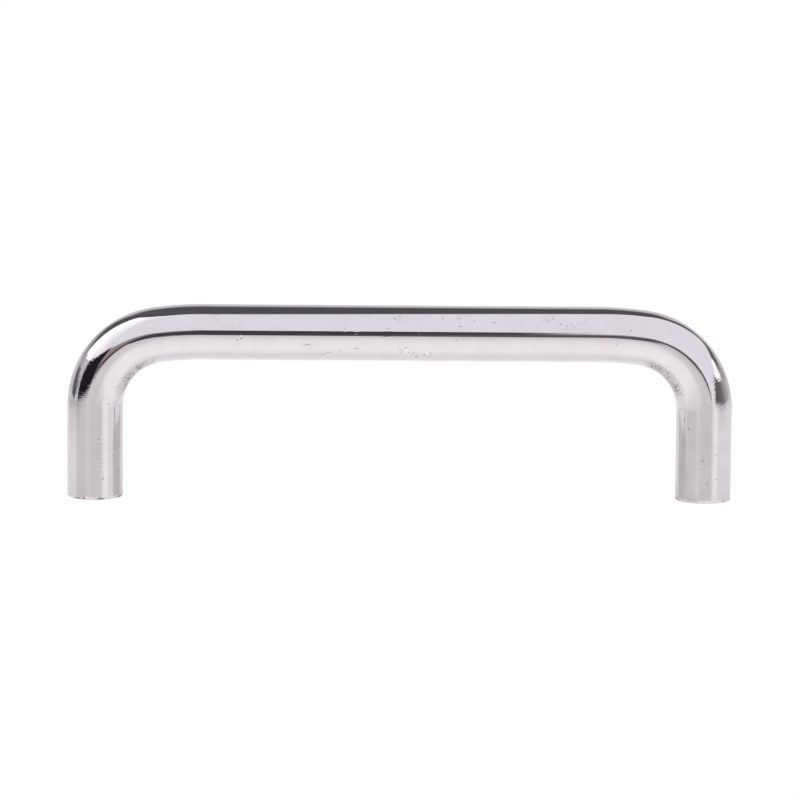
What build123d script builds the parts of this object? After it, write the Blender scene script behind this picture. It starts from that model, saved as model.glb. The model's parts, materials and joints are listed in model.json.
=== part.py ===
from build123d import *

import os
from math import cos, radians, tan

# Arch handle for a cabinet door or a drawer: one round bar, bent down at both ends into
# two feet that stand square on the mounting face, with a tapped screw hole up each foot.
# The origin lies midway between the screw holes, on the mounting face. X runs along the
# grip and Z points away from the door.

# Driving dimensions of the bar, in millimetres and degrees
bar_diameter = 10.0
hole_spacing = 110.0  # centre to centre of the two feet
projection = 35.0  # mounting face to the outside of the grip
bend_radius = 13.0  # main bend above each foot, at the centre of the bar
lead_in_radius = 60.0  # gentle curve between the straight grip and each main bend
lead_in_angle = 8.0  # share of the right-angle turn that the gentle curve takes
foot_edge_radius = 0.4  # rim of each foot

# Driving dimensions of the screw holes: a coarse metric thread, tapped blind
screw_diameter = 4.0
thread_pitch = 0.7
hole_depth = 12.0  # full width of the drill, up from the mounting face
drill_point_angle = 118.0
countersink_angle = 90.0
countersink_margin = 0.2  # how far the countersink opens beyond the screw

# Worked out from the driving dimensions
bar_radius = bar_diameter / 2
foot_offset = hole_spacing / 2
grip_height = projection - bar_radius
main_bend_angle = 90.0 - lead_in_angle
main_bend_rise = bend_radius * cos(radians(lead_in_angle))
lead_in_rise = lead_in_radius * (1 - cos(radians(lead_in_angle)))
leg_length = grip_height - main_bend_rise - lead_in_rise
drill_radius = (screw_diameter - thread_pitch) / 2
drill_point_height = drill_radius / tan(radians(drill_point_angle / 2))
countersink_radius = screw_diameter / 2 + countersink_margin

with BuildPart() as handle_bar:
    # Centreline of one half, from the left foot up to the middle of the grip, then its mirror image
    with BuildLine(Plane.XZ) as centreline:
        leg = Line((-foot_offset, 0), (-foot_offset, leg_length))
        main_bend = JernArc(leg @ 1, leg % 1, bend_radius, -main_bend_angle)
        lead_in = JernArc(main_bend @ 1, main_bend % 1, lead_in_radius, -lead_in_angle)
        Line(lead_in @ 1, (0, grip_height))
        mirror(about=Plane.YZ)
    bar_path = centreline.wire()

    # Round section, square to the centreline at its start
    with BuildSketch(Plane(bar_path @ 0, z_dir=bar_path % 0)):
        Circle(bar_radius)
    sweep(path=bar_path)

    # Rounded rim of each foot
    foot_faces = handle_bar.faces().group_by(Axis.Z)[0]
    fillet(foot_faces.edges(), foot_edge_radius)

    # Screw hole up the middle of each foot, countersunk at its mouth
    with Locations(*[Plane((side * foot_offset, 0, 0), z_dir=(0, 0, -1)) for side in (-1, 1)]):
        CounterSinkHole(drill_radius, countersink_radius, hole_depth, countersink_angle)

    # Cone that the drill's point leaves at the end of each hole
    with Locations((-foot_offset, 0, hole_depth), (foot_offset, 0, hole_depth)):
        Cone(
            drill_radius,
            0,
            drill_point_height,
            align=(Align.CENTER, Align.CENTER, Align.MIN),
            mode=Mode.SUBTRACT,
        )

handle_bar.part.label = "handle_bar"

os.makedirs("parts", exist_ok=True)
export_step(handle_bar.part, "parts/handle_bar.step")
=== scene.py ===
import json
from collections import namedtuple
from math import cos, pi, radians, sin, sqrt, tan

import bmesh
import bpy
import numpy as np
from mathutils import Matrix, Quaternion, Vector


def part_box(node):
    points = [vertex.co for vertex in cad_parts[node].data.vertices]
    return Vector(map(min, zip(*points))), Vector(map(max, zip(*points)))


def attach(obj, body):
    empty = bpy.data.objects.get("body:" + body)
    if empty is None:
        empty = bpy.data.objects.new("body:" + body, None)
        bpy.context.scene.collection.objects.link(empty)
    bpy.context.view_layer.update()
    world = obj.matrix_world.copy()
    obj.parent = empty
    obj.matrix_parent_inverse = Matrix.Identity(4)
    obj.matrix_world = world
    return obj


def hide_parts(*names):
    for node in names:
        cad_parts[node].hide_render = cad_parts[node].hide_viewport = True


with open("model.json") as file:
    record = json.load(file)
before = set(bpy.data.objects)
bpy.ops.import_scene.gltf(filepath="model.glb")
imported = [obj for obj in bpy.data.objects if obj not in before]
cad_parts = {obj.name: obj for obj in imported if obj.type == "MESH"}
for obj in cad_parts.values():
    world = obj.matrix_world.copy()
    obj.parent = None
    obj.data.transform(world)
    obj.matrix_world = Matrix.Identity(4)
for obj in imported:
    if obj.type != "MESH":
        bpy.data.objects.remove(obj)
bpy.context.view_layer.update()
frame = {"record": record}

# Sizes of the bar, in metres and degrees: those that the frame holds are read from it
mm = 0.001
screw_pair = next(mount for mount in frame["record"]["mounts"] if mount["name"] == "screw_pair")
bar_low, bar_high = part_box("handle_bar")
bar_radius = (bar_high.y - bar_low.y) / 2
foot_offset = screw_pair["dims"]["spacing_x_mm"] / 2 * mm
grip_height = bar_high.z - bar_radius
bend_radius = 13.0 * mm
lead_in_radius = 60.0 * mm
lead_in_angle = 8.0
foot_edge_radius = 0.4 * mm

# Sizes of the screw holes
drill_radius = screw_pair["dims"]["hole_r_mm"] * mm
thread_pitch = 0.7 * mm
thread_depth = 0.36 * mm
thread_crest = 0.25  # flat top and flat root of the ridges, as shares of the pitch
thread_root = 0.125
thread_length = 10.0 * mm
thread_fade = 0.5 * mm
hole_depth = 12.0 * mm
drill_point_angle = 118.0
countersink_radius = 2.2 * mm
countersink_depth = screw_pair["pos_m"][2]

# How finely the bar is divided, and how closely places on it are told apart
columns_around = 80
leg_rows = 60
bend_rows = 90
lead_in_rows = 30
half_grip_rows = 118
foot_edge_rows = 5
thread_rows = 98
mark_cuts = 3
mark_margin = 0.3 * mm
round_profile = 0.5
crease_angle = 35.0
hair = 0.001 * mm
touch = 0.01 * mm
skin_share = 0.9  # of the bar's radius: what lies further out is its skin
x_axis = 0
z_axis = 2

# Worked out from the sizes
main_bend_angle = 90.0 - lead_in_angle
leg_length = (
    grip_height
    - bend_radius * cos(radians(lead_in_angle))
    - lead_in_radius * (1 - cos(radians(lead_in_angle)))
)
bend_centre = Vector((-foot_offset + bend_radius, 0, leg_length))
lead_in_centre = Vector((
    bend_centre.x + (lead_in_radius - bend_radius) * sin(radians(lead_in_angle)),
    0,
    grip_height - lead_in_radius,
))
bend_run = leg_length + bend_radius * radians(main_bend_angle)
lead_in_run = bend_run + lead_in_radius * radians(lead_in_angle)
half_run = lead_in_run - lead_in_centre.x
full_run = 2 * half_run

# Camera: distance, aim and angles of the view
camera_distance = 0.800
camera_elevation = 8.0
camera_azimuth = -0.788
camera_roll = 0.501
camera_aim = Vector((0, 0, 17.84 * mm))
camera_lens = 199.4
camera_sensor = 36.0
camera_nearest = 0.01
camera_farthest = 20.0


# Marks of wear: run along the bar, angle around it (0 front, 90 outside), length, width and depth.
# On the legs the angle is given from the front towards the right.

Mark = namedtuple("Mark", "run around length width depth")


def on_grip(x, around, length, width, depth):
    return Mark(half_run + x * mm, around, length * mm, width * mm, depth * mm)


def on_left_leg(height, around, length, width, depth):
    return Mark(height * mm, -around, length * mm, width * mm, depth * mm)


def on_right_leg(height, around, length, width, depth):
    return Mark(full_run - height * mm, around, length * mm, width * mm, depth * mm)


pits = [
    on_grip(-28.6, -5, 0.7, 0.6, 0.030),
    on_grip(-29.3, -8, 0.6, 0.5, 0.020),
    on_grip(-29.2, -18, 1.3, 0.35, 0.005),
    on_grip(-16.9, -18, 2.2, 0.5, 0.010),
    on_grip(-14.0, -45, 1.2, 0.3, 0.010),
    on_grip(-12.9, -38, 1.2, 0.3, 0.010),
    on_grip(-11.1, -33, 1.2, 0.3, 0.010),
    on_grip(-33.4, 40, 1.2, 0.8, 0.005),
    on_grip(-10.1, 16, 0.5, 0.5, 0.025),
    on_grip(-2.2, 17, 1.2, 0.25, 0.010),
    on_grip(7.5, 39, 0.25, 1.0, 0.010),
    on_grip(10.3, 40, 1.0, 0.3, 0.010),
    on_grip(10.7, 22, 1.0, 0.3, 0.010),
    on_grip(-7.9, -27, 1.6, 0.5, 0.008),
    on_grip(-2.6, -4, 1.0, 0.3, 0.004),
    on_grip(3.5, 5, 0.3, 1.0, 0.004),
    on_grip(-7.9, 4, 0.5, 0.4, 0.015),
    on_grip(0.7, -26, 0.6, 0.5, 0.025),
    on_grip(1.4, -37, 0.6, 0.5, 0.025),
    on_grip(2.9, -49, 0.5, 0.9, 0.020),
    on_grip(4.3, -42, 0.5, 0.9, 0.020),
    on_grip(5.0, -49, 0.5, 0.6, 0.020),
    on_grip(10.0, -7, 1.0, 0.3, 0.010),
    on_grip(13.2, 35, 0.6, 0.4, 0.010),
    on_grip(16.8, 31, 1.2, 0.4, 0.015),
    on_grip(28.6, 28, 0.7, 0.4, 0.012),
    on_grip(41.1, 19, 0.7, 0.4, 0.010),
    on_grip(38.7, -12, 0.3, 1.0, 0.012),
    on_grip(-38.0, -24, 0.4, 0.4, 0.015),
    on_left_leg(11.2, 10, 0.5, 0.5, 0.010),
    on_left_leg(10.4, 15, 0.4, 0.4, 0.008),
    on_left_leg(9.0, 6, 1.2, 0.3, 0.004),
    on_left_leg(6.8, 19, 0.3, 1.0, 0.005),
    on_left_leg(5.3, 23, 0.4, 0.4, 0.006),
    on_left_leg(3.9, 19, 0.5, 0.5, 0.010),
    on_left_leg(4.5, 17, 0.4, 0.3, 0.008),
    on_left_leg(6.2, 15, 0.4, 0.3, 0.006),
    on_left_leg(5.0, 61, 1.2, 0.4, 0.008),
    on_left_leg(8.1, 42, 0.5, 0.4, 0.015),
    on_left_leg(17.6, 31, 0.5, 0.5, 0.015),
    on_right_leg(7.9, -6, 1.6, 0.4, 0.006),
    on_right_leg(6.5, -10, 0.5, 0.5, 0.006),
    on_right_leg(3.9, 3, 0.8, 0.8, 0.006),
    on_right_leg(13.6, -38, 1.0, 0.4, 0.008),
    on_right_leg(9.0, 24, 0.5, 0.4, 0.012),
    on_right_leg(4.6, 25, 0.5, 0.4, 0.012),
]

# Patches of many small pits: each is scattered with them
pitted_patches = [
    on_grip(-0.4, 39, 1.9, 0.8, 0.008),
    on_grip(26.5, 37, 2.2, 1.0, 0.008),
    on_grip(30.7, 21, 1.9, 1.2, 0.006),
    on_grip(32.6, 32, 1.8, 0.8, 0.006),
    on_grip(0.6, -31, 2.0, 1.8, 0.008),
    on_grip(3.9, -43, 4.4, 1.6, 0.012),
]
# Patches where glints are painted: white specks in the chrome's colour, painted highlights
painted_glint_patches = [on_grip(0.9, -36, 1.8, 1.5, 0), on_grip(4.6, -37, 2.2, 1.2, 0)]
painted_glint_strength = 0.8
full_wear_depth = 0.0075 * mm  # marks this deep or deeper have lost all their polish
pits_in_patch = 18
pit_size = 0.27 * mm
scatter_seed = 7

# Where the bends are creased and worn, and where shade is painted in their creases: runs above the leg,
# and places inwards or outwards as shares of the bar's radius; each pair is where the wear or the
# painted shade begins and where it is full, or the other way round
crease_starts = (2 * mm, 6 * mm)
crease_ends = (14 * mm, 19 * mm)
crease_inwards = (0.58, 0.82)
shaded_margin_inwards = (0.78, 0.92)
scuff_starts = (0.3 * mm, 1.5 * mm)
scuff_ends = (5 * mm, 11 * mm)
scuff_outwards = (-0.1, 0.5)
streaks_outwards = (0.45, 0.8)
right_scuff_strength = 0.75
# Grime and painted contact shade on the foot rims fade out between these heights
rim_grime_and_shade_ends = (0.2 * mm, 0.6 * mm)  # up from the face of the foot

# Names under which the bar keeps, for each of its points, how worn it is and where shade and glints are
# painted on it
wear_and_painted_light_places = (
    "wear", "bend_crease", "bend_margin", "bend_scuff", "bend_streaks", "foot_rim", "white_smear"
)


# Modelling helpers

def pick(bar, test):
    """Selects, in edit mode, the points of the bar that pass the test, and nothing else."""
    bpy.ops.mesh.select_all(action="DESELECT")
    skin = bmesh.from_edit_mesh(bar.data)
    for point in skin.verts:
        point.select = test(point.co)
    skin.select_flush(True)
    bmesh.update_edit_mesh(bar.data)


def pick_long_edges(bar, along, shortest):
    """Selects, in edit mode, the edges that run along an axis and are longer than a length."""
    bpy.ops.mesh.select_all(action="DESELECT")
    skin = bmesh.from_edit_mesh(bar.data)
    for edge in skin.edges:
        span = edge.verts[1].co - edge.verts[0].co
        edge.select = abs(span[along]) > shortest
    bmesh.update_edit_mesh(bar.data)


def extrude(offset):
    bpy.ops.mesh.extrude_region_move(TRANSFORM_OT_translate={"value": offset})


def on_foot_rim(point):
    from_foot_axis = sqrt((point.x + foot_offset) ** 2 + point.y ** 2)
    return abs(point.z) < touch and from_foot_axis > bar_radius - touch


# Shape of the bar

def turn_screw_hole():
    """Screw hole up the middle of the left foot, from the foot face that is selected."""
    foot_centre = Vector((-foot_offset, 0, 0))
    bpy.ops.mesh.inset(thickness=bar_radius - countersink_radius)
    extrude((0, 0, countersink_depth))
    narrowing = drill_radius / countersink_radius
    bpy.ops.transform.resize(value=(narrowing, narrowing, 1), center_override=foot_centre)
    extrude((0, 0, hole_depth - countersink_depth))
    extrude((0, 0, drill_radius / tan(radians(drill_point_angle / 2))))
    bpy.ops.mesh.merge(type="CENTER")


def bend_bar(bar):
    """Leg, main bend, gentle lead-in and half of the grip, grown from the rim of the left foot."""
    pick(bar, on_foot_rim)
    extrude((0, 0, leg_length))
    bpy.ops.mesh.spin(
        steps=bend_rows, angle=radians(main_bend_angle), center=bend_centre, axis=(0, -1, 0)
    )
    bpy.ops.mesh.spin(
        steps=lead_in_rows, angle=radians(lead_in_angle), center=lead_in_centre, axis=(0, -1, 0)
    )
    extrude((-lead_in_centre.x, 0, 0))


def round_foot_edge(bar):
    pick(bar, on_foot_rim)
    bpy.ops.mesh.bevel(
        offset=foot_edge_radius, segments=foot_edge_rows, profile=round_profile, affect="EDGES"
    )


def divide_straight_runs(bar):
    """Even rows along the leg, the grip and the wall of the screw hole."""
    bpy.ops.mesh.select_mode(type="EDGE")
    pick_long_edges(bar, x_axis, leg_length)
    bpy.ops.mesh.subdivide(number_cuts=half_grip_rows - 1)
    pick_long_edges(bar, z_axis, hole_depth)
    bpy.ops.mesh.subdivide(number_cuts=leg_rows - 1)
    pick_long_edges(bar, z_axis, hole_depth / 2)
    bpy.ops.mesh.subdivide(number_cuts=thread_rows - 1)
    bpy.ops.mesh.select_mode(type="VERT")


def mirror_to_right(bar):
    bpy.ops.object.mode_set(mode="OBJECT")
    other_half = bar.modifiers.new("other_half", "MIRROR")
    other_half.use_axis = (True, False, False)
    other_half.merge_threshold = hair
    bpy.ops.object.modifier_apply(modifier=other_half.name)
    bpy.ops.object.mode_set(mode="EDIT")
    bpy.ops.mesh.select_all(action="SELECT")
    bpy.ops.mesh.remove_doubles(threshold=hair)
    bpy.ops.mesh.normals_make_consistent(inside=False)
    bpy.ops.object.mode_set(mode="OBJECT")


def model_bar():
    bpy.ops.object.select_all(action="DESELECT")
    bpy.ops.mesh.primitive_circle_add(
        vertices=columns_around, radius=bar_radius, fill_type="NGON", location=(-foot_offset, 0, 0)
    )
    bar = bpy.context.object
    bar.name = "chromed_bar"
    bar.data.name = "chromed_bar"
    bpy.ops.object.transform_apply(location=True, rotation=True, scale=True)
    bpy.ops.object.mode_set(mode="EDIT")
    bpy.ops.mesh.select_all(action="SELECT")
    turn_screw_hole()
    bend_bar(bar)
    round_foot_edge(bar)
    divide_straight_runs(bar)
    mirror_to_right(bar)
    return bar


# Places on the bar as if it were straight

def straightened(points):
    """Run along the bar from the left foot, then place towards the front, then place outwards."""
    left_x = -np.abs(points[:, 0])
    height = points[:, 2]
    bend_turn = np.arctan2(height - bend_centre.z, bend_centre.x - left_x)
    lead_in_turn = np.arctan2(height - lead_in_centre.z, lead_in_centre.x - left_x)
    stretches = [
        height <= leg_length,
        left_x >= lead_in_centre.x,
        lead_in_turn >= radians(main_bend_angle),
    ]
    run = np.select(
        stretches,
        [
            height,
            lead_in_run + left_x - lead_in_centre.x,
            bend_run + lead_in_radius * (lead_in_turn - radians(main_bend_angle)),
        ],
        leg_length + bend_radius * bend_turn,
    )
    outwards = np.select(
        stretches,
        [
            -foot_offset - left_x,
            height - grip_height,
            np.hypot(left_x - lead_in_centre.x, height - lead_in_centre.z) - lead_in_radius,
        ],
        np.hypot(left_x - bend_centre.x, height - bend_centre.z) - bend_radius,
    )
    run = np.where(points[:, 0] > 0, full_run - run, run)
    return np.column_stack([run, -points[:, 1], outwards])


def bent(places):
    """Points of the bent bar, from their places on the straight one."""
    from_foot = np.minimum(places[:, 0], full_run - places[:, 0])
    outwards = places[:, 2]
    bend_turn = (from_foot - leg_length) / bend_radius
    lead_in_turn = radians(main_bend_angle) + (from_foot - bend_run) / lead_in_radius
    stretches = [from_foot <= leg_length, from_foot <= bend_run, from_foot <= lead_in_run]
    left_x = np.select(
        stretches,
        [
            -foot_offset - outwards,
            bend_centre.x - (bend_radius + outwards) * np.cos(bend_turn),
            lead_in_centre.x - (lead_in_radius + outwards) * np.cos(lead_in_turn),
        ],
        lead_in_centre.x + from_foot - lead_in_run,
    )
    height = np.select(
        stretches,
        [
            from_foot,
            bend_centre.z + (bend_radius + outwards) * np.sin(bend_turn),
            lead_in_centre.z + (lead_in_radius + outwards) * np.sin(lead_in_turn),
        ],
        grip_height + outwards,
    )
    x = np.where(places[:, 0] > half_run, -left_x, left_x)
    return np.column_stack([x, -places[:, 1], height])


def read_points(bar):
    points = np.empty(len(bar.data.vertices) * 3)
    bar.data.vertices.foreach_get("co", points)
    return points.reshape(-1, 3)


def write_points(bar, points):
    bar.data.vertices.foreach_set("co", points.ravel())
    bar.data.update()


def smooth_step(low, high, values):
    share = np.clip((values - low) / (high - low), 0, 1)
    return share * share * (3 - 2 * share)


# Wear, painted shade and painted glints, and thread

def scattered_pits():
    """Small pits strewn over each pitted patch, the same at every run."""
    chance = np.random.default_rng(scatter_seed)
    strewn = []
    for patch in pitted_patches:
        for along, across, size in chance.uniform(-0.5, 0.5, (pits_in_patch, 3)):
            width = pit_size * (1 + size)
            around = patch.around + np.degrees(across * patch.width / bar_radius)
            strewn.append(Mark(patch.run + along * patch.length, around, width, width, patch.depth))
    return strewn


def mark_shape(mark, places):
    """How fully each place lies in a mark: 1 at its middle, 0 well outside it."""
    around = np.arctan2(places[:, 2], places[:, 1])
    turn = np.angle(np.exp(1j * (around - radians(mark.around))))
    along_share = (places[:, 0] - mark.run) / (mark.length / 2)
    across_share = turn * bar_radius / (mark.width / 2)
    return np.exp(-(along_share ** 2 + across_share ** 2))


def near_marks(marks, places, margin):
    around = np.arctan2(places[:, 2], places[:, 1])
    near = np.zeros(len(places), dtype=bool)
    for mark in marks:
        turn = np.abs(np.angle(np.exp(1j * (around - radians(mark.around))))) * bar_radius
        along = np.abs(places[:, 0] - mark.run)
        near |= (along < mark.length / 2 + margin) & (turn < mark.width / 2 + margin)
    return near


def is_skin(places):
    """The polished outside of the bar, clear of the feet's rims."""
    from_foot = np.minimum(places[:, 0], full_run - places[:, 0])
    from_axis = np.hypot(places[:, 1], places[:, 2])
    return (from_foot > foot_edge_radius + touch) & (from_axis > bar_radius * skin_share)


def divide_near_marks(bar, marks):
    """Finer faces where the marks will be cut."""
    places = straightened(read_points(bar))
    near = near_marks(marks, places, mark_margin) & is_skin(places)
    bpy.ops.object.mode_set(mode="EDIT")
    bpy.ops.mesh.select_mode(type="VERT")
    bpy.ops.mesh.select_all(action="DESELECT")
    skin = bmesh.from_edit_mesh(bar.data)
    for point, chosen in zip(skin.verts, near):
        point.select = bool(chosen)
    skin.select_flush(True)
    bmesh.update_edit_mesh(bar.data)
    bpy.ops.mesh.subdivide(number_cuts=mark_cuts)
    bpy.ops.object.mode_set(mode="OBJECT")


def sink_marks(bar, marks):
    """Rounds the skin to the bar's radius and presses the marks into it."""
    places = straightened(read_points(bar))
    skin = is_skin(places)
    depth = np.zeros(len(places))
    wear = np.zeros(len(places))
    for mark in marks:
        shape = mark_shape(mark, places)
        depth = np.maximum(depth, mark.depth * shape)
        wear = np.maximum(wear, shape * min(mark.depth / full_wear_depth, 1))
    from_axis = np.hypot(places[:, 1], places[:, 2])
    shrink = np.where(skin, (bar_radius - depth) / np.maximum(from_axis, hair), 1)
    places[:, 1] *= shrink
    places[:, 2] *= shrink
    points = read_points(bar)
    points[skin] = bent(places)[skin]
    write_points(bar, points)
    return np.where(skin, wear, 0)


def cut_threads(bar):
    """Right-hand thread up each screw hole: the wall moves out between the ridges."""
    points = read_points(bar)
    for side in (-1, 1):
        across = points[:, 0] - side * foot_offset
        from_axis = np.hypot(across, points[:, 1])
        height = points[:, 2]
        wall = (np.abs(from_axis - drill_radius) < touch) & (height > countersink_depth + touch)
        turns = np.arctan2(points[:, 1], across) / (2 * pi)
        along_pitch = np.mod(height / thread_pitch - turns, 1)
        from_ridge = np.abs(2 * along_pitch - 1)
        groove = np.clip((from_ridge - thread_crest) / (1 - thread_crest - thread_root), 0, 1)
        mouth = smooth_step(countersink_depth, countersink_depth + thread_fade, height)
        end = 1 - smooth_step(thread_length, thread_length + thread_fade, height)
        growth = np.where(wall, 1 + thread_depth / drill_radius * groove * mouth * end, 1)
        points[:, 0] = side * foot_offset + across * growth
        points[:, 1] *= growth
    write_points(bar, points)


def store(bar, name, kind, values):
    """Keeps a value for each point of the bar, for its finish to read."""
    kept = bar.data.attributes.new(name, kind, "POINT")
    kept.data.foreach_set("vector" if kind == "FLOAT_VECTOR" else "value", values.ravel())


def store_places(bar, wear):
    places = straightened(read_points(bar))
    from_foot = np.minimum(places[:, 0], full_run - places[:, 0])
    above_leg = from_foot - leg_length
    outside = places[:, 2] / bar_radius
    in_bend = smooth_step(*crease_starts, above_leg) * (1 - smooth_step(*crease_ends, above_leg))
    # Inner side of each bend: real wrinkles, bumped in the finish and darkened there with painted shade
    crease = in_bend * smooth_step(*crease_inwards, -outside)
    # Margin along the inner edge of each bend: painted shade
    margin = in_bend * smooth_step(*shaded_margin_inwards, -outside)
    scuff = smooth_step(*scuff_starts, above_leg) * (1 - smooth_step(*scuff_ends, above_leg))
    scuff *= np.where(places[:, 0] > half_run, right_scuff_strength, 1)
    streaks = scuff * smooth_step(*streaks_outwards, outside)
    scuff *= smooth_step(*scuff_outwards, outside)
    # Foot rims: grime and painted contact shade
    rim = 1 - smooth_step(*rim_grime_and_shade_ends, from_foot)
    # Where glints are painted
    painted_glint_mask = painted_glint_strength * np.max([mark_shape(mark, places) for mark in painted_glint_patches], axis=0)
    store(bar, "bar_run", "FLOAT_VECTOR", places)
    for name, values in zip(wear_and_painted_light_places, (wear, crease, margin, scuff, streaks, rim, painted_glint_mask)):
        store(bar, name, "FLOAT", values)


# Node helpers

def new_group(name, inputs, outputs):
    """Empty shader node group with named sockets; returns it with its input and output nodes."""
    group = bpy.data.node_groups.new(name, "ShaderNodeTree")
    for label, kind in inputs:
        group.interface.new_socket(label, in_out="INPUT", socket_type=kind)
    for label, kind in outputs:
        group.interface.new_socket(label, in_out="OUTPUT", socket_type=kind)
    return group, group.nodes.new("NodeGroupInput"), group.nodes.new("NodeGroupOutput")


def feed(tree, socket, value):
    """Links an output to a socket, or sets the socket to a plain value."""
    if isinstance(value, bpy.types.NodeSocket):
        tree.links.new(value, socket)
    else:
        socket.default_value = value


def reckon(tree, operation, *values):
    node = tree.nodes.new("ShaderNodeMath")
    node.operation = operation
    for socket, value in zip(node.inputs, values):
        feed(tree, socket, value)
    return node.outputs[0]


def reckon_vector(tree, operation, *values):
    node = tree.nodes.new("ShaderNodeVectorMath")
    node.operation = operation
    for socket, value in zip(node.inputs, values):
        feed(tree, socket, value)
    return node.outputs["Value"] if operation == "DOT_PRODUCT" else node.outputs["Vector"]


def remap(tree, value, low, high, to_low=0.0, to_high=1.0):
    node = tree.nodes.new("ShaderNodeMapRange")
    node.interpolation_type = "SMOOTHSTEP"
    for label, number in (
        ("Value", value), ("From Min", low), ("From Max", high), ("To Min", to_low), ("To Max", to_high)
    ):
        feed(tree, node.inputs[label], number)
    return node.outputs["Result"]


def blend_colour(tree, share, first, second):
    node = tree.nodes.new("ShaderNodeMix")
    node.data_type = "RGBA"
    feed(tree, node.inputs["Factor"], share)
    feed(tree, node.inputs["A"], first)
    feed(tree, node.inputs["B"], second)
    return node.outputs["Result"]


def noise(tree, place, scale, detail, roughness):
    node = tree.nodes.new("ShaderNodeTexNoise")
    feed(tree, node.inputs["Vector"], place)
    feed(tree, node.inputs["Scale"], scale)
    node.inputs["Detail"].default_value = detail
    node.inputs["Roughness"].default_value = roughness
    return node.outputs["Fac"]


def parts_of(tree, place):
    node = tree.nodes.new("ShaderNodeSeparateXYZ")
    feed(tree, node.inputs["Vector"], place)
    return node.outputs["X"], node.outputs["Y"], node.outputs["Z"]


def attribute(tree, name, output):
    node = tree.nodes.new("ShaderNodeAttribute")
    node.attribute_name = name
    return node.outputs[output]


def use_group(tree, group, **values):
    """Puts a group to use and returns its one output."""
    node = tree.nodes.new("ShaderNodeGroup")
    node.node_tree = group
    for label, value in values.items():
        feed(tree, node.inputs[label], value)
    return node.outputs[0]


# Effects that the finishes share

lines_detail = 3.0
lines_roughness = 0.6
cloud_detail = 4.0
cloud_roughness = 0.6
cloud_range = (0.4, 0.68)
grain_detail = 2.0
grain_roughness = 0.7
wear_and_glint_pull = 0.42
speck_range = (0.70, 0.90)


def make_lines_group():
    """Fine lines: Along and Across say how many there are to a metre each way."""
    group, given, result = new_group(
        "fine_lines",
        [("Place", "NodeSocketVector"), ("Along", "NodeSocketFloat"), ("Across", "NodeSocketFloat")],
        [("Height", "NodeSocketFloat")],
    )
    counts = group.nodes.new("ShaderNodeCombineXYZ")
    feed(group, counts.inputs["X"], given.outputs["Along"])
    feed(group, counts.inputs["Y"], given.outputs["Across"])
    feed(group, counts.inputs["Z"], given.outputs["Across"])
    stretched = reckon_vector(group, "MULTIPLY", given.outputs["Place"], counts.outputs["Vector"])
    feed(group, result.inputs["Height"], noise(group, stretched, 1.0, lines_detail, lines_roughness))
    return group


def make_cloud_group():
    """Soft clouds in the plating, Size to a metre."""
    group, given, result = new_group(
        "plating_cloud",
        [("Place", "NodeSocketVector"), ("Size", "NodeSocketFloat")],
        [("Mask", "NodeSocketFloat")],
    )
    place = given.outputs["Place"]
    cloud = noise(group, place, given.outputs["Size"], cloud_detail, cloud_roughness)
    feed(group, result.inputs["Mask"], remap(group, cloud, *cloud_range))
    return group


def make_speck_group():
    """Specks, thick where the share given is high: specks of lost polish where the bar is worn, and
    painted glints, painted highlights, in the glint patches.
    """
    group, given, result = new_group(
        "polish_specks",
        [("Place", "NodeSocketVector"), ("Size", "NodeSocketFloat"), ("Wear", "NodeSocketFloat")],
        [("Mask", "NodeSocketFloat")],
    )
    place = given.outputs["Place"]
    grain = noise(group, place, given.outputs["Size"], grain_detail, grain_roughness)
    worn = reckon(group, "MULTIPLY_ADD", given.outputs["Wear"], wear_and_glint_pull, grain)
    feed(group, result.inputs["Mask"], remap(group, worn, *speck_range))
    return group


# Finishes: colours

clean_chrome = (0.785, 0.772, 0.78, 1)
hazed_chrome = (0.77, 0.730, 0.745, 1)
dulled_chrome = (0.46, 0.44, 0.45, 1)
# Painted shade: the dark colour of the strokes in the creases of the bends and of the margin along
# their inner edge
crease_shade_colour = (0.12, 0.115, 0.117, 1)
# Painted highlight: colour of the painted glints
painted_glint_colour = (0.97, 0.965, 0.965, 1)
# Dark line along the bottom of each foot: partly grime, partly painted contact shade
rim_grime_and_shade = (0.16, 0.15, 0.15, 1)
clean_foot = (0.66, 0.64, 0.64, 1)
stained_foot = (0.56, 0.53, 0.51, 1)
bright_thread = (0.42, 0.40, 0.385, 1)
stained_thread = (0.30, 0.275, 0.25, 1)

# Lines to a metre along the bar and across it, and clouds and specks to a metre
drawn_lines = {"Along": 450.0, "Across": 2800.0}
crumple_lines = {"Along": 2400.0, "Across": 750.0}
fold_lines = {"Along": 6800.0, "Across": 1500.0}
cutting_lines = {"Along": 1500.0, "Across": 7000.0}
tearing_lines = {"Along": 6000.0, "Across": 1200.0}
haze_clouds = 260.0
grime_and_shade_clouds = 420.0
foot_clouds = 500.0
thread_clouds = 700.0
wear_specks = 3600.0
painted_glint_specks = 1900.0

# Dark strokes in the creases, painted shade on their real wrinkles, and a painted shaded margin; and on
# the rims grime with painted contact shade
fold_range = (0.42, 0.60)
faintest_stroke = 0.05
stroke_patch_range = (0.0, 0.7)
weakest_patch_stroke = 0.55
margin_shade_strength = 0.24
rim_grime_and_shade_range = (0.1, 0.6)

# Roughness: of each surface, and what haze, specks, strokes and stains add to it
chrome_roughness = 0.03
haze_roughness = 0.03
speck_roughness = 0.2
stroke_roughness = 0.25
foot_roughness = 0.22
foot_stain_roughness = 0.12
thread_roughness = 0.3
thread_stain_roughness = 0.15

# Heights of the finest lines and specks, in the finish alone
drawn_height = 0.0005 * mm
streak_height = 0.034 * mm
crumple_height = 0.030 * mm
fold_height = 0.010 * mm
speck_height = -0.004 * mm
cutting_height = 0.006 * mm
tearing_height = 0.004 * mm


def new_finish(name):
    finish = bpy.data.materials.new(name)
    finish.use_nodes = True
    return finish, finish.node_tree, finish.node_tree.nodes["Principled BSDF"]


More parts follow.
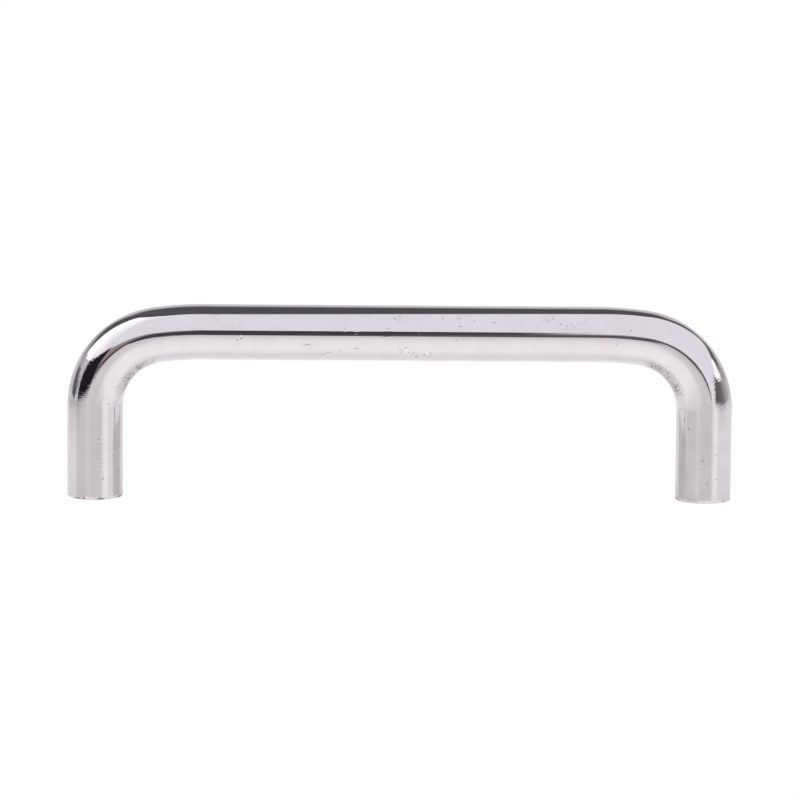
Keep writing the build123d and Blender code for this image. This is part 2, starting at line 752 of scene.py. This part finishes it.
def add_bump(tree, shader, height):
    bump = tree.nodes.new("ShaderNodeBump")
    bump.inputs["Strength"].default_value = 1.0
    bump.inputs["Distance"].default_value = 1.0
    feed(tree, bump.inputs["Height"], height)
    feed(tree, shader.inputs["Normal"], bump.outputs["Normal"])


def polished_chrome(lines_group, cloud_group, speck_group):
    finish, tree, shader = new_finish("polished_chrome")
    place = attribute(tree, "bar_run", "Vector")
    wear, crease, margin, scuff, streaks, rim, painted_glint_mask = [
        attribute(tree, name, "Fac") for name in wear_and_painted_light_places
    ]
    drawn = use_group(tree, lines_group, Place=place, **drawn_lines)
    crumple = use_group(tree, lines_group, Place=place, **crumple_lines)
    folds = use_group(tree, lines_group, Place=place, **fold_lines)
    cloud = use_group(tree, cloud_group, Place=place, Size=haze_clouds)
    grime_and_shade_cloud = use_group(tree, cloud_group, Place=place, Size=grime_and_shade_clouds)
    specks = use_group(tree, speck_group, Place=place, Size=wear_specks, Wear=wear)
    painted_glints = use_group(tree, speck_group, Place=place, Size=painted_glint_specks, Wear=painted_glint_mask)
    # Dark strokes on the wrinkles in the creases: painted shade, patchy
    fold_strokes = remap(tree, folds, *fold_range, faintest_stroke, 1.0)
    wrinkles_and_crease_shade = reckon(tree, "MULTIPLY", fold_strokes, crease)
    stroke_patchiness = remap(tree, grime_and_shade_cloud, *stroke_patch_range, weakest_patch_stroke, 1.0)
    wrinkles_and_crease_shade = reckon(tree, "MULTIPLY", wrinkles_and_crease_shade, stroke_patchiness)
    # Painted shade along the inner edge of the bend
    wrinkles_and_crease_shade = reckon(tree, "MAXIMUM", wrinkles_and_crease_shade, reckon(tree, "MULTIPLY", margin, margin_shade_strength))
    # Grime and painted contact shade along the foot rims
    rim_grime_and_shade_mask = reckon(tree, "MULTIPLY", remap(tree, grime_and_shade_cloud, *rim_grime_and_shade_range), rim)

    colour = blend_colour(tree, cloud, clean_chrome, hazed_chrome)
    colour = blend_colour(tree, wrinkles_and_crease_shade, colour, crease_shade_colour)
    colour = blend_colour(tree, specks, colour, dulled_chrome)
    # Painted glints: painted highlights in the glint patches
    colour = blend_colour(tree, painted_glints, colour, painted_glint_colour)
    feed(tree, shader.inputs["Base Color"], blend_colour(tree, rim_grime_and_shade_mask, colour, rim_grime_and_shade))
    shader.inputs["Metallic"].default_value = 1.0

    rough = reckon(tree, "MULTIPLY_ADD", cloud, haze_roughness, chrome_roughness)
    rough = reckon(tree, "MULTIPLY_ADD", specks, speck_roughness, rough)
    rough = reckon(tree, "MULTIPLY_ADD", wrinkles_and_crease_shade, stroke_roughness, rough)
    feed(tree, shader.inputs["Roughness"], rough)

    line_height = reckon(tree, "MULTIPLY_ADD", streaks, streak_height, drawn_height)
    height = reckon(tree, "MULTIPLY", drawn, line_height)
    scuff_height = reckon(tree, "MULTIPLY", scuff, crumple_height)
    height = reckon(tree, "MULTIPLY_ADD", crumple, scuff_height, height)
    crease_height = reckon(tree, "MULTIPLY", crease, fold_height)
    height = reckon(tree, "MULTIPLY_ADD", folds, crease_height, height)
    height = reckon(tree, "MULTIPLY_ADD", specks, speck_height, height)
    add_bump(tree, shader, height)
    return finish


def cut_foot(lines_group, cloud_group):
    """Foot faces and countersinks: turned flat, then plated."""
    finish, tree, shader = new_finish("cut_chrome_foot")
    place = attribute(tree, "bar_run", "Vector")
    along, across, outwards = parts_of(tree, place)
    squares = reckon(tree, "MULTIPLY", across, across)
    squares = reckon(tree, "MULTIPLY_ADD", outwards, outwards, squares)
    ring = tree.nodes.new("ShaderNodeCombineXYZ")
    feed(tree, ring.inputs["X"], along)
    feed(tree, ring.inputs["Y"], reckon(tree, "SQRT", squares))
    turned = ring.outputs["Vector"]
    cutting = use_group(tree, lines_group, Place=turned, **cutting_lines)
    cloud = use_group(tree, cloud_group, Place=place, Size=foot_clouds)
    feed(tree, shader.inputs["Base Color"], blend_colour(tree, cloud, clean_foot, stained_foot))
    shader.inputs["Metallic"].default_value = 1.0
    rough = reckon(tree, "MULTIPLY_ADD", cloud, foot_stain_roughness, foot_roughness)
    feed(tree, shader.inputs["Roughness"], rough)
    add_bump(tree, shader, reckon(tree, "MULTIPLY", cutting, cutting_height))
    return finish


def tapped_thread(lines_group, cloud_group):
    """Thread in the screw holes: bare cut steel that the plating barely reached."""
    finish, tree, shader = new_finish("tapped_steel_thread")
    place = attribute(tree, "bar_run", "Vector")
    tearing = use_group(tree, lines_group, Place=place, **tearing_lines)
    cloud = use_group(tree, cloud_group, Place=place, Size=thread_clouds)
    feed(tree, shader.inputs["Base Color"], blend_colour(tree, cloud, bright_thread, stained_thread))
    shader.inputs["Metallic"].default_value = 1.0
    rough = reckon(tree, "MULTIPLY_ADD", cloud, thread_stain_roughness, thread_roughness)
    feed(tree, shader.inputs["Roughness"], rough)
    add_bump(tree, shader, reckon(tree, "MULTIPLY", tearing, tearing_height))
    return finish


def finish_bar(bar):
    """Chrome skin, cut feet and tapped holes, told apart by their place."""
    lines_group = make_lines_group()
    cloud_group = make_cloud_group()
    speck_group = make_speck_group()
    bar.data.materials.append(polished_chrome(lines_group, cloud_group, speck_group))
    bar.data.materials.append(cut_foot(lines_group, cloud_group))
    bar.data.materials.append(tapped_thread(lines_group, cloud_group))
    skin_slot, foot_slot, thread_slot = range(3)
    for face in bar.data.polygons:
        centre = face.center
        from_foot_axis = sqrt((abs(centre.x) - foot_offset) ** 2 + centre.y ** 2)
        in_hole = from_foot_axis < countersink_radius + touch and centre.z < leg_length
        if in_hole and centre.z > countersink_depth:
            face.material_index = thread_slot
        elif in_hole or centre.z < touch:
            face.material_index = foot_slot
        else:
            face.material_index = skin_slot
    bpy.ops.object.select_all(action="DESELECT")
    bar.select_set(True)
    bpy.context.view_layer.objects.active = bar
    bpy.ops.object.shade_smooth_by_angle(angle=radians(crease_angle))


bar = model_bar()
marks = pits + scattered_pits()
divide_near_marks(bar, marks)
wear = sink_marks(bar, marks)
cut_threads(bar)
store_places(bar, wear)
finish_bar(bar)
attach(bar, "root")
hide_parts("handle_bar")


# Studio: glossy white sheet underfoot, the panels and cards that the chrome mirrors, and soft lights

sheet_front = -0.15
sheet_back = 1.5
sheet_half_width = 1.5
sheet_drop = 0.02 * mm
sheet_white = (0.90, 0.888, 0.874, 1)
sheet_roughness = 0.11
white = (1, 1, 1, 1)
black = (0, 0, 0, 1)

# A panel's slope raises it towards the right, and its lean shifts it sideways as it rises; its edges
# are soft sideways and upwards
Panel = namedtuple("Panel", "azimuth elevation slope lean edges colour")

backdrop = (0.66, 0.65, 0.66, 1)
front_sweep = (0.79, 0.755, 0.77, 1)
left_sweep = (0.76, 0.72, 0.735, 1)
right_sweep = (0.69, 0.66, 0.68, 1)
dark_room = (0.095, 0.093, 0.102, 1)
left_gloom = (0.20, 0.195, 0.21, 1)
left_corner = (0.42, 0.41, 0.43, 1)
pale_panel = (0.91, 0.89, 0.96, 1)
side_panel = (0.92, 0.90, 0.94, 1)
softbox_white = (1.6, 1.58, 1.6, 1)
softbox_glow = (1.15, 1.13, 1.17, 1)
lamp_white = (1.5, 1.48, 1.5, 1)
left_strip = (0.62, 0.60, 0.66, 1)
left_wall = (0.15, 0.145, 0.155, 1)
taupe_card = (0.34, 0.265, 0.285, 1)
table_edge = (0.055, 0.045, 0.05, 1)
lens_gap = (0.062, 0.055, 0.065, 1)
right_line = (0.115, 0.105, 0.115, 1)
right_back_dark = (0.14, 0.135, 0.14, 1)
right_back_pale = (0.40, 0.39, 0.40, 1)
mirrored_gloom = (0.26, 0.25, 0.26, 1)
mirrored_dark = (0.24, 0.235, 0.24, 1)
mirrored_grey = (0.40, 0.385, 0.40, 1)
mirrored_pale = (0.62, 0.61, 0.63, 1)
mirrored_white = (0.92, 0.90, 0.93, 1)
mirrored_camera = (0.15, 0.145, 0.15, 1)

# Azimuth 0 is towards the camera and 90 to its right; later panels stand in front of earlier ones
room_panels = [
    Panel((-160, -78), (13, 34), 0, 0, (8, 4), left_corner),
    Panel((137, 151), (25, 91), 0, 0, (4, 6), dark_room),
    Panel((150, 210), (39, 91), 0, 0, (4, 18), dark_room),
    Panel((-181, 181), (48, 91), 0, 0, (1, 5), dark_room),
    Panel((-153, -118), (23, 91), 0, 0, (10, 8), left_gloom),
    Panel((-151, -126), (27, 91), 0, 0, (8, 8), dark_room),
    Panel((66, 107), (11.8, 24.8), 0, 0, (1.5, 1.5), lamp_white),
    Panel((-40, 29), (-20, 16), 0, 0, (2, 2), front_sweep),
    Panel((-40, -2), (-5, 16), 0, 0, (2, 5), left_sweep),
    Panel((1.5, 29), (-4, 16), 0, 0, (4, 8), right_sweep),
    Panel((29, 52), (-20, 16), 0, 0, (2, 2), side_panel),
]

# Pale panel in front and overhead: the planes that bound it in front, to the right and at its right
# end, and how its foot climbs from the front round to the right
front_facing = (0, -1, -0.07)
right_facing = (0.9633, -0.2676, 0.004)
right_end_facing = (0.614, -0.779, 0.124)
panel_foot_front = 9.6
panel_foot_right = 26.0
panel_foot_climb = (59.0, 102.0)
panel_foot_edge = 0.5
panel_side_edge = 0.01

# Panels and strips that stand in front of the pale one
card_panels = [
    Panel((-118, -72), (24, 79), 0, 0, (8, 3), softbox_white),
    Panel((-84, -54), (25, 79), 0, 0, (24, 3), softbox_glow),
    Panel((-150, -75), (68.5, 100.5), 0.33, 0, (4, 4), dark_room),
    Panel((-112, -76), (-2, 21), 0, 0, (3, 3), left_strip),
    Panel((-94, -86), (-1, 11), 0, 0, (3, 3), left_wall),
    Panel((-76, -34), (-2, 24), 0, 0, (3, 3), left_wall),
    Panel((-35, -2), (7, 17.7), -0.29, 0, (3, 5), taupe_card),
    Panel((-35, -8), (1.4, 10), 0.27, 0, (3, 4), taupe_card),
    Panel((-32, -7), (5.3, 9.4), 0, 0, (6, 1.5), table_edge),
    Panel((-6.9, -1), (-6, 8.5), 0, -0.85, (1, 1), lens_gap),
    Panel((-7.5, -1), (2.5, 10.2), 0, 0, (1, 1), lens_gap),
    Panel((-2.5, 2.9), (-6, 13.5), 0, 0, (1, 1), lens_gap),
    Panel((0.5, 6.6), (-6, 5), 0, 0.45, (2, 2), right_line),
    Panel((4.4, 16), (2.7, 8.3), 0.25, 0, (2, 3), right_line),
    Panel((14, 24), (2.3, 9.4), -0.16, 0, (2, 3), right_line),
    Panel((22, 30.5), (-1.6, 5.8), -0.72, 0, (2, 3), right_line),
    Panel((100, 134), (6, 18), 0, 0, (8, 4), right_back_pale),
    Panel((104, 147), (17, 27), 0, 0.8, (3, 3), right_back_dark),
]

# What the sheet mirrors, low down, instead of all these
sheet_panels = [
    Panel((-181, 181), (-30, 16), 0, 0, (1, 6), mirrored_gloom),
    Panel((-190, -80), (-30, 16), 0, 0, (10, 6), mirrored_pale),
    Panel((-80, -38), (-30, 16), 0, 0, (6, 6), mirrored_dark),
    Panel((-37, -20), (-30, 16), 0, 0, (6, 6), mirrored_grey),
    Panel((30, 190), (-30, 16), 0, 0, (8, 6), mirrored_pale),
    Panel((38, 57), (-30, 16), 0, 0, (6, 6), mirrored_white),
    Panel((-7, 7), (14, 60), 0, 0, (5, 12), mirrored_camera),
]
mirrors_before_sheet = 1.5  # more mirrors than this on the way: seen by way of the sheet

# Cards that stand close to a bend: side, corners as azimuth and elevation from the bend, and the
# colours that the card shades between from its left edge to its right
Card = namedtuple("Card", "name side corners left_colour right_colour")
card_distance = 85 * mm
bend_point = (2 * mm, -4 * mm, 4 * mm)  # outwards, backwards and upwards from the top of the leg
card_black = (0.016, 0.015, 0.018, 1)
card_charcoal = (0.14, 0.135, 0.155, 1)
card_dark = (0.072, 0.070, 0.075, 1)
card_dusk = (0.20, 0.195, 0.205, 1)
card_grey = (0.42, 0.41, 0.42, 1)
card_pale = (0.52, 0.51, 0.52, 1)
cards = [
    Card("black_card", -1, [(-76, -6), (-28.5, -0.5), (-77, 25), (-29, 26)], card_black, card_black),
    Card(
        "left_dark_card", -1, [(-116, -2), (-91, -6.5), (-127, 15), (-101, 18)],
        card_charcoal, card_dark,
    ),
    Card("right_dark_card", 1, [(42, -5), (82, -5), (66, 15), (88, 13)], card_dark, card_dusk),
    Card("right_grey_card", 1, [(82, -5), (104, -5), (88, 13), (103, 13)], card_dusk, card_grey),
    Card("right_pale_card", 1, [(104, -5), (123, -2), (103, 13), (122, 10)], card_grey, card_pale),
]

# Shade cards beyond those, which darken the top of each leg: faint at the sheet, stronger upwards
shade_distance = 95 * mm
shade_full_height = 16.4 * mm
shade_side_edge = 0.35
shade_top_edge = 0.3
shade_cards = [
    Card(
        "left_shade_card", -1, [(-150, -12), (-45, -12), (-150, -3.5), (-45, -3.5)],
        card_charcoal, card_charcoal,
    ),
    Card(
        "right_shade_card", 1, [(34, -12), (112, -12), (34, -1.5), (112, -1.5)],
        card_charcoal, card_charcoal,
    ),
]

# Black cards between the legs, which darken the sheet's gloss that the inner side of each leg mirrors:
# painted shade, standing in for the shadow on the sheet between the legs
inner_card_offset = 48 * mm
inner_card_front = -17 * mm
inner_card_back = 86 * mm
inner_card_height = 18 * mm
inner_card_fade = (0, 3 * mm)
inner_card_steepness = (0.20, 0.15)

# Soft lights over the sheet: azimuth, elevation, distance, size and brightness
Light = namedtuple("Light", "name azimuth elevation distance size brightness")
soft_lights = [
    Light("front_light", 0, 38, 4.0, 2.0, 6.0),
    Light("left_light", -85, 45, 2.0, 1.3, 1.0),
    Light("right_light", 70, 35, 2.0, 1.3, 1.0),
]


def make_panel_group():
    """Where a direction meets a panel: 1 within it, 0 outside, soft at its edges."""
    labels = (
        "Azimuth", "Elevation", "Middle", "Half width", "Centre height", "Half height",
        "Slope", "Lean", "Side edge", "Rise edge",
    )
    group, given, result = new_group(
        "studio_panel",
        [(label, "NodeSocketFloat") for label in labels],
        [("Mask", "NodeSocketFloat")],
    )
    sideways = reckon(group, "SUBTRACT", given.outputs["Azimuth"], given.outputs["Middle"])
    sideways = reckon(group, "WRAP", sideways, 180.0, -180.0)
    upwards = reckon(group, "SUBTRACT", given.outputs["Elevation"], given.outputs["Centre height"])
    climb = reckon(group, "MULTIPLY", sideways, given.outputs["Slope"])
    shift = reckon(group, "MULTIPLY", upwards, given.outputs["Lean"])
    upwards = reckon(group, "SUBTRACT", upwards, climb)
    sideways = reckon(group, "SUBTRACT", sideways, shift)
    masks = []
    for offset, reach, edge in (
        (sideways, given.outputs["Half width"], given.outputs["Side edge"]),
        (upwards, given.outputs["Half height"], given.outputs["Rise edge"]),
    ):
        outer = reckon(group, "MULTIPLY_ADD", edge, 0.5, reach)
        inner = reckon(group, "MULTIPLY_ADD", edge, -0.5, reach)
        masks.append(remap(group, reckon(group, "ABSOLUTE", offset), outer, inner))
    feed(group, result.inputs["Mask"], reckon(group, "MULTIPLY", *masks))
    return group


def in_sheet(tree):
    """1 where the chrome sees a thing by way of the sheet's gloss, 0 where it sees it straight."""
    mirrors = tree.nodes.new("ShaderNodeLightPath").outputs["Glossy Depth"]
    return reckon(tree, "GREATER_THAN", mirrors, mirrors_before_sheet)


def light_studio():
    world = bpy.data.worlds.new("studio")
    bpy.context.scene.world = world
    world.use_nodes = True
    tree = world.node_tree
    tree.nodes.clear()
    panel_group = make_panel_group()
    direction = tree.nodes.new("ShaderNodeTexCoord").outputs["Generated"]
    rightwards, backwards, upwards = parts_of(tree, direction)
    towards_camera = reckon(tree, "MULTIPLY", backwards, -1.0)
    azimuth = reckon(tree, "DEGREES", reckon(tree, "ARCTAN2", rightwards, towards_camera))
    elevation = reckon(tree, "DEGREES", reckon(tree, "ARCSINE", upwards))

    def hang(panels, colour):
        for panel in panels:
            mask = use_group(
                tree,
                panel_group,
                **{
                    "Azimuth": azimuth,
                    "Elevation": elevation,
                    "Middle": sum(panel.azimuth) / 2,
                    "Half width": (panel.azimuth[1] - panel.azimuth[0]) / 2,
                    "Centre height": sum(panel.elevation) / 2,
                    "Half height": (panel.elevation[1] - panel.elevation[0]) / 2,
                    "Slope": panel.slope,
                    "Lean": panel.lean,
                    "Side edge": panel.edges[0],
                    "Rise edge": panel.edges[1],
                },
            )
            colour = blend_colour(tree, mask, colour, panel.colour)
        return colour

    colour = hang(room_panels, backdrop)
    foot = remap(tree, azimuth, *panel_foot_climb, panel_foot_front, panel_foot_right)
    rise = reckon(tree, "SUBTRACT", elevation, foot)
    above_foot = remap(tree, rise, -panel_foot_edge, panel_foot_edge)
    in_front, to_right, short_of_end = [
        remap(
            tree,
            reckon_vector(tree, "DOT_PRODUCT", direction, facing),
            -panel_side_edge,
            panel_side_edge,
        )
        for facing in (front_facing, right_facing, right_end_facing)
    ]
    on_panel = reckon(tree, "MAXIMUM", in_front, reckon(tree, "MULTIPLY", to_right, short_of_end))
    colour = blend_colour(tree, reckon(tree, "MULTIPLY", on_panel, above_foot), colour, pale_panel)
    colour = hang(card_panels, colour)
    colour = blend_colour(tree, in_sheet(tree), colour, hang(sheet_panels, colour))

    seen = tree.nodes.new("ShaderNodeLightPath").outputs["Is Camera Ray"]
    shine = tree.nodes.new("ShaderNodeBackground")
    feed(tree, shine.inputs["Color"], blend_colour(tree, seen, colour, white))
    output = tree.nodes.new("ShaderNodeOutputWorld")
    feed(tree, output.inputs["Surface"], shine.outputs["Background"])


def direction_to(azimuth, elevation):
    """Unit vector towards an azimuth and an elevation, in degrees."""
    level = cos(radians(elevation))
    return Vector((
        sin(radians(azimuth)) * level, -cos(radians(azimuth)) * level, sin(radians(elevation))
    ))


def hang_soft_lights():
    """Lights for the sheet alone: the chrome mirrors the panels, not these."""
    for light in soft_lights:
        lamp = bpy.data.lights.new(light.name, "AREA")
        lamp.shape = "SQUARE"
        lamp.size = light.size
        lamp.energy = light.brightness * pi * light.size ** 2
        lamp.use_shadow = False
        holder = bpy.data.objects.new(light.name, lamp)
        bpy.context.scene.collection.objects.link(holder)
        towards = direction_to(light.azimuth, light.elevation)
        holder.location = towards * light.distance
        holder.rotation_euler = (-towards).to_track_quat("-Z", "Y").to_euler()
        holder.visible_camera = False
        holder.visible_glossy = False


def stand_card(name, corners, finish):
    """Card for the chrome alone to mirror."""
    bpy.ops.object.select_all(action="DESELECT")
    bpy.ops.mesh.primitive_plane_add()
    card = bpy.context.object
    card.name = name
    for corner, place in zip(card.data.vertices, corners):
        corner.co = place
    card.data.materials.append(finish)
    card.visible_camera = False
    card.visible_diffuse = False
    card.visible_shadow = False


def mix_shaders(tree, share, first, second):
    node = tree.nodes.new("ShaderNodeMixShader")
    feed(tree, node.inputs[0], share)
    feed(tree, node.inputs[1], first)
    feed(tree, node.inputs[2], second)
    return node.outputs["Shader"]


def show(tree, shader):
    feed(tree, tree.nodes["Material Output"].inputs["Surface"], shader)


def card_finish(name, left_colour, right_colour):
    """Card shaded from left to right; returns its finish with its shader and one that is clear."""
    finish, tree, shader = new_finish(name)
    tree.nodes.remove(shader)
    along, _, _ = parts_of(tree, tree.nodes.new("ShaderNodeTexCoord").outputs["UV"])
    glow = tree.nodes.new("ShaderNodeEmission")
    feed(tree, glow.inputs["Color"], blend_colour(tree, along, left_colour, right_colour))
    clear = tree.nodes.new("ShaderNodeBsdfTransparent")
    return finish, glow.outputs["Emission"], clear.outputs["BSDF"]


def bend_card_corners(card, distance):
    outwards, backwards, upwards = bend_point
    bend = Vector((card.side * (foot_offset + outwards), backwards, leg_length + upwards))
    return [
        bend + direction_to(azimuth, elevation) * (distance / cos(radians(elevation)))
        for azimuth, elevation in card.corners
    ]


def stand_bend_cards():
    """Cards near the bends: not there in the sheet's gloss."""
    for card in cards:
        finish, glow, clear = card_finish(card.name, card.left_colour, card.right_colour)
        tree = finish.node_tree
        show(tree, mix_shaders(tree, in_sheet(tree), glow, clear))
        stand_card(card.name, bend_card_corners(card, card_distance), finish)


def stand_shade_cards():
    """Cards that fade out at every edge: not there in the sheet's gloss either."""
    for card in shade_cards:
        finish, glow, clear = card_finish(card.name, card.left_colour, card.right_colour)
        tree = finish.node_tree
        places = tree.nodes.new("ShaderNodeTexCoord")
        _, _, height = parts_of(tree, places.outputs["Object"])
        along, up, _ = parts_of(tree, places.outputs["UV"])
        rise = reckon(tree, "DIVIDE", height, shade_full_height)
        shown = reckon(tree, "MULTIPLY", rise, rise)
        for fade in (
            remap(tree, along, 0, shade_side_edge),
            remap(tree, along, 1, 1 - shade_side_edge),
            remap(tree, up, 1, 1 - shade_top_edge),
            reckon(tree, "SUBTRACT", 1.0, in_sheet(tree)),
        ):
            shown = reckon(tree, "MULTIPLY", shown, fade)
        show(tree, mix_shaders(tree, shown, clear, glow))
        stand_card(card.name, bend_card_corners(card, shade_distance), finish)


def inner_card_finish(name):
    """Black to the far leg by way of the sheet's gloss, faded at its foot, and otherwise clear."""
    finish, glow, clear = card_finish(name, black, black)
    tree = finish.node_tree
    _, _, height = parts_of(tree, tree.nodes.new("ShaderNodeTexCoord").outputs["Object"])
    way = tree.nodes.new("ShaderNodeLightPath").outputs["Ray Length"]
    level = remap(tree, reckon(tree, "DIVIDE", height, way), *inner_card_steepness)
    from_behind = tree.nodes.new("ShaderNodeNewGeometry").outputs["Backfacing"]
    shown = reckon(tree, "MULTIPLY", remap(tree, height, *inner_card_fade), level)
    shown = reckon(tree, "MULTIPLY", shown, in_sheet(tree))
    shown = reckon(tree, "MULTIPLY", shown, reckon(tree, "SUBTRACT", 1.0, from_behind))
    show(tree, mix_shaders(tree, shown, clear, glow))
    return finish


def stand_inner_cards():
    """One card beside each leg, turned to face the far leg."""
    for name, side in (("left_inner_card", -1), ("right_inner_card", 1)):
        depths = (inner_card_front, inner_card_back)
        corners = [
            (side * inner_card_offset, depth, height)
            for height in (0, inner_card_height)
            for depth in depths[::-side]
        ]
        stand_card(name, corners, inner_card_finish(name))


def sheet_finish():
    """Glossy white sheet: plain white to the camera, lit and glossy in the chrome, clear from below."""
    finish, tree, gloss = new_finish("glossy_white_sheet")
    gloss.inputs["Base Color"].default_value = sheet_white
    gloss.inputs["Roughness"].default_value = sheet_roughness
    plain = tree.nodes.new("ShaderNodeEmission")
    plain.inputs["Color"].default_value = white
    clear = tree.nodes.new("ShaderNodeBsdfTransparent")
    seen = tree.nodes.new("ShaderNodeLightPath").outputs["Is Camera Ray"]
    from_below = tree.nodes.new("ShaderNodeNewGeometry").outputs["Backfacing"]
    above = mix_shaders(tree, seen, gloss.outputs["BSDF"], plain.outputs["Emission"])
    show(tree, mix_shaders(tree, from_below, above, clear.outputs["BSDF"]))
    return finish


def lay_sheet():
    bpy.ops.object.select_all(action="DESELECT")
    middle = (sheet_front + sheet_back) / 2
    bpy.ops.mesh.primitive_plane_add(size=1, location=(0, middle, -sheet_drop))
    sheet = bpy.context.object
    sheet.name = "white_sheet"
    sheet.scale = (2 * sheet_half_width, sheet_back - sheet_front, 1)
    bpy.ops.object.transform_apply(location=True, rotation=True, scale=True)
    sheet.data.materials.append(sheet_finish())


# Camera

def place_camera():
    back = direction_to(camera_azimuth, camera_elevation)
    lens = bpy.data.cameras.new("studio_camera")
    lens.lens = camera_lens
    lens.sensor_width = camera_sensor
    lens.clip_start = camera_nearest
    lens.clip_end = camera_farthest
    camera = bpy.data.objects.new("studio_camera", lens)
    bpy.context.scene.collection.objects.link(camera)
    camera.location = camera_aim + back * camera_distance
    camera.rotation_mode = "QUATERNION"
    level = (-back).to_track_quat("-Z", "Y")
    camera.rotation_quaternion = level @ Quaternion((0, 0, 1), radians(camera_roll))
    bpy.context.scene.camera = camera


light_studio()
hang_soft_lights()
stand_bend_cards()
stand_shade_cards()
stand_inner_cards()
lay_sheet()
place_camera()
bpy.context.scene.view_settings.view_transform = "Standard"
